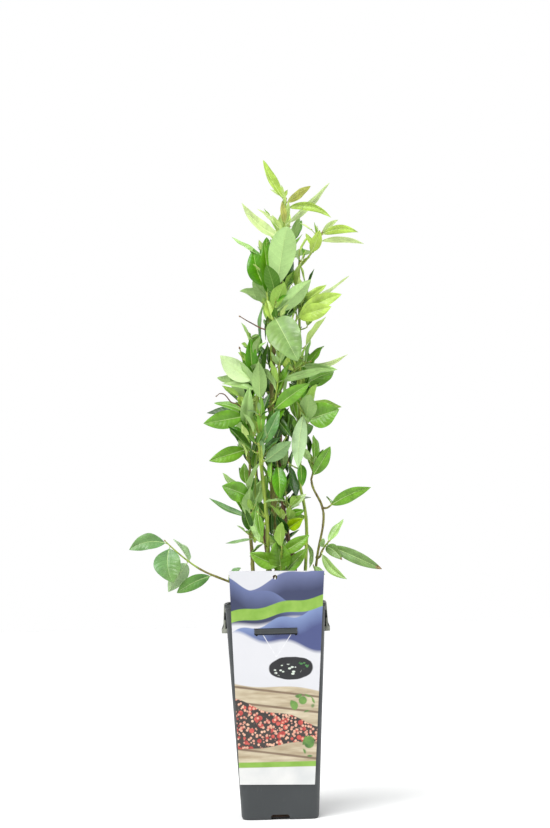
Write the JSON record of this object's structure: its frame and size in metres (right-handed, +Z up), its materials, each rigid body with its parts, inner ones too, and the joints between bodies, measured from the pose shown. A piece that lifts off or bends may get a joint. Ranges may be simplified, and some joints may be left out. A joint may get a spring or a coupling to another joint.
{
  "type": "blueberry bush in a pot",
  "caption": "Young upright blueberry bush in a tall square nursery pot with loop handles and a hanging card: slim stems, pointed leaves and one low trailing twig.",
  "frame": {"origin": "centre of the pot's flat underside", "axes": "+Z up the plant, -Y out of the side with the card, +X to the right of someone who faces the card"},
  "size_m": [0.2489, 0.1372, 0.6532],
  "materials": {
    "pot": "satin",
    "soil": "matte",
    "card": "satin",
    "old_wood": "matte",
    "stem": "satin",
    "green_stem": "satin",
    "young_leaves": "satin",
    "leaves": "satin",
    "pale_leaves": "satin",
    "cool_leaves": "satin"
  },
  "bodies": {
    "root": {"pot": "pot", "soil": "soil", "label_card": "card", "centre_stem": "stem", "left_stem": "green_stem", "right_stem": "green_stem", "woody_stem": "old_wood", "outer_right_stem": "stem", "outer_left_stem": "stem", "trailing_branch": "stem", "back_stem": "old_wood", "bough_upper_left": "green_stem", "bough_upper_front": "green_stem", "bough_upper_right": "green_stem", "bough_mid_right": "green_stem", "bough_centre_high": "green_stem", "bough_right": "green_stem", "bough_centre": "stem", "bough_left_inner": "green_stem", "bough_left_low": "green_stem", "bough_fork": "old_wood", "bough_right_far": "stem", "bough_right_low": "stem", "bough_base": "stem", "bough_back_high": "green_stem", "bough_back_right": "old_wood", "bough_back_low": "old_wood", "top_tuft": "young_leaves", "upper_left": "leaves", "upper_right": "young_leaves", "upper_front": "pale_leaves", "upper_right_low": "young_leaves", "mid_left_high": "pale_leaves", "centre_high": "leaves", "mid_right": "pale_leaves", "right_cluster": "leaves", "mid_left": "leaves", "left_inner": "cool_leaves", "centre": "leaves", "left_low": "leaves", "centre_low": "leaves", "right_side": "leaves", "right_far": "leaves", "right_low": "leaves", "base": "leaves", "trailing_left": "cool_leaves", "back_high": "young_leaves", "back_mid": "leaves", "back_left": "leaves", "back_right": "leaves", "back_low": "leaves"}
  },
  "joints": []
}
